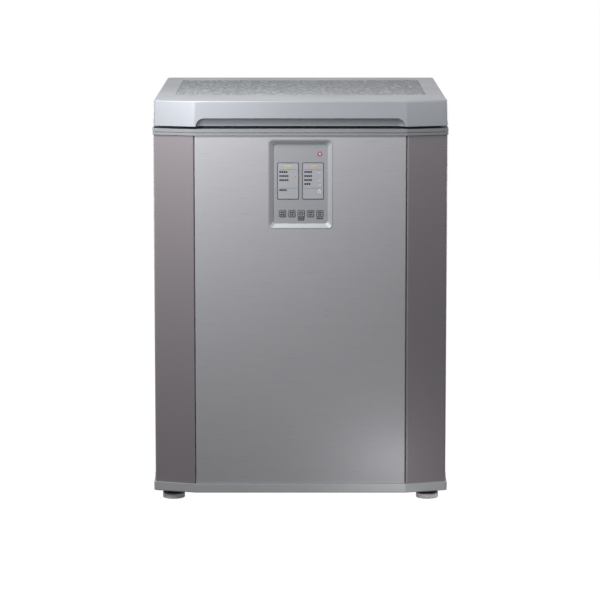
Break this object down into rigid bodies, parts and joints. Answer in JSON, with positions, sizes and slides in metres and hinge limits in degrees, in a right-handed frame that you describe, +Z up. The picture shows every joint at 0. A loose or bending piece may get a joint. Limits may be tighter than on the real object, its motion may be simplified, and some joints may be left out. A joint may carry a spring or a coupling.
{
  "type": "kimchi refrigerator",
  "caption": "Chest-type kimchi refrigerator: an insulated well under a hinged lid with a scooped finger grip, a recessed control panel, levelling feet and rear rollers.",
  "frame": {"origin": "on the floor, in the middle of the whole outline", "axes": "+Z up, +X to the viewer's right, +Y towards the back; the control panel faces -Y"},
  "size_m": [0.59, 0.69, 0.805],
  "materials": {
    "base_plastic": "satin moulded grey",
    "foot_plastic": "moulded, knurled edge",
    "roller_rubber": "matt",
    "zinc_sheet": "zinc-coated sheet",
    "painted_sheet": "satin metallic grey-brown",
    "brushed_front": "fine horizontal brushing",
    "black_rubber": "matt",
    "collar_plastic": "satin grey",
    "well_metal": "embossed satin",
    "foam": "rigid polyurethane foam",
    "tube_aluminium": "drawn tube",
    "bezel_plastic": "silver moulded",
    "fascia_plastic": "satin printed",
    "circuit_board": "solder resist",
    "black_plastic": "moulded",
    "lens_red": "clear red",
    "window_pane": "clear polycarbonate over a pale display",
    "key_plastic": "satin moulded",
    "black_enamel": "gloss black enamel",
    "grey_plastic": "moulded",
    "copper_tube": "drawn copper",
    "silver_abs": "silver metallic moulded",
    "lid_pattern": "flecked decorative sheet",
    "liner_plastic": "formed sheet",
    "gasket_rubber": "soft extruded",
    "bright_steel": "turned, bright"
  },
  "bodies": {
    "cabinet": {"base_frame": "base_plastic", "roller_bracket_left": "zinc_sheet", "roller_bracket_right": "zinc_sheet", "outer_case_left": "painted_sheet", "outer_case_right": "painted_sheet", "front_panel": "brushed_front", "back_panel": "zinc_sheet", "rear_cover": "zinc_sheet", "cord_gland": "black_rubber", "collar": "collar_plastic", "inner_tub": "well_metal", "foam_body": "foam", "evaporator_coil": "tube_aluminium", "control_bezel": "bezel_plastic", "control_fascia": "fascia_plastic", "control_board": "circuit_board", "control_housing": "black_plastic", "indicator_lens": "lens_red", "display_window_left": "window_pane", "display_window_right": "window_pane", "compressor_plate": "zinc_sheet", "compressor": "black_enamel", "compressor_grommet_1": "black_rubber", "compressor_grommet_2": "black_rubber", "compressor_grommet_3": "black_rubber", "compressor_grommet_4": "black_rubber", "relay_cover": "black_plastic", "condenser_coil": "tube_aluminium", "fan_shroud": "grey_plastic", "fan_motor": "zinc_sheet", "filter_dryer": "copper_tube", "discharge_tube": "copper_tube", "suction_tube": "copper_tube", "main_board_box": "grey_plastic", "main_board": "circuit_board", "hinge_bracket_left": "zinc_sheet", "hinge_bracket_right": "zinc_sheet", "hinge_pin_left": "bright_steel", "hinge_pin_right": "bright_steel", "hinge_spring_left": "bright_steel", "hinge_spring_right": "bright_steel", "hinge_cover_left": "grey_plastic", "hinge_cover_right": "grey_plastic"},
    "lid": {"lid_frame": "silver_abs", "lid_top_panel": "lid_pattern", "lid_liner": "liner_plastic", "lid_foam": "foam", "lid_gasket": "gasket_rubber", "hinge_leaf_left": "zinc_sheet", "hinge_leaf_right": "zinc_sheet"},
    "fan": {"fan_rotor": "black_plastic"},
    "key_body_1": {"key_1": "key_plastic"},
    "key_body_2": {"key_2": "key_plastic"},
    "key_body_3": {"key_3": "key_plastic"},
    "key_body_4": {"key_4": "key_plastic"},
    "key_body_5": {"key_5": "key_plastic"},
    "foot_left": {"levelling_foot_left": "foot_plastic"},
    "foot_right": {"levelling_foot_right": "foot_plastic"},
    "wheel_left": {"roller_left": "roller_rubber"},
    "wheel_right": {"roller_right": "roller_rubber"}
  },
  "joints": [
    {"name": "lid_hinge", "type": "hinge", "parent": "cabinet", "child": "lid", "pos_m": [0, 0.331, 0.752], "axis": [-1, 0, 0], "range_deg": [0, 80]},
    {"name": "fan_spin", "type": "hinge", "parent": "cabinet", "child": "fan", "pos_m": [-0.022, 0.2205, 0.106], "axis": [1, 0, 0], "continuous": true},
    {"name": "key_1_press", "type": "slide", "parent": "cabinet", "child": "key_body_1", "axis": [0, 1, 0], "range_m": [0, 0.0005], "stiffness_N_per_m": 1500, "springref_m": -0.0003},
    {"name": "key_2_press", "type": "slide", "parent": "cabinet", "child": "key_body_2", "axis": [0, 1, 0], "range_m": [0, 0.0005], "stiffness_N_per_m": 1500, "springref_m": -0.0003},
    {"name": "key_3_press", "type": "slide", "parent": "cabinet", "child": "key_body_3", "axis": [0, 1, 0], "range_m": [0, 0.0005], "stiffness_N_per_m": 1500, "springref_m": -0.0003},
    {"name": "key_4_press", "type": "slide", "parent": "cabinet", "child": "key_body_4", "axis": [0, 1, 0], "range_m": [0, 0.0005], "stiffness_N_per_m": 1500, "springref_m": -0.0003},
    {"name": "key_5_press", "type": "slide", "parent": "cabinet", "child": "key_body_5", "axis": [0, 1, 0], "range_m": [0, 0.0005], "stiffness_N_per_m": 1500, "springref_m": -0.0003},
    {"name": "foot_left_screw", "type": "slide", "parent": "cabinet", "child": "foot_left", "axis": [0, 0, -1], "range_m": [0, 0.012]},
    {"name": "foot_right_screw", "type": "slide", "parent": "cabinet", "child": "foot_right", "axis": [0, 0, -1], "range_m": [0, 0.012]},
    {"name": "wheel_left_spin", "type": "hinge", "parent": "cabinet", "child": "wheel_left", "pos_m": [-0.25, 0.285, 0.017], "axis": [1, 0, 0], "continuous": true},
    {"name": "wheel_right_spin", "type": "hinge", "parent": "cabinet", "child": "wheel_right", "pos_m": [0.25, 0.285, 0.017], "axis": [1, 0, 0], "continuous": true}
  ]
}
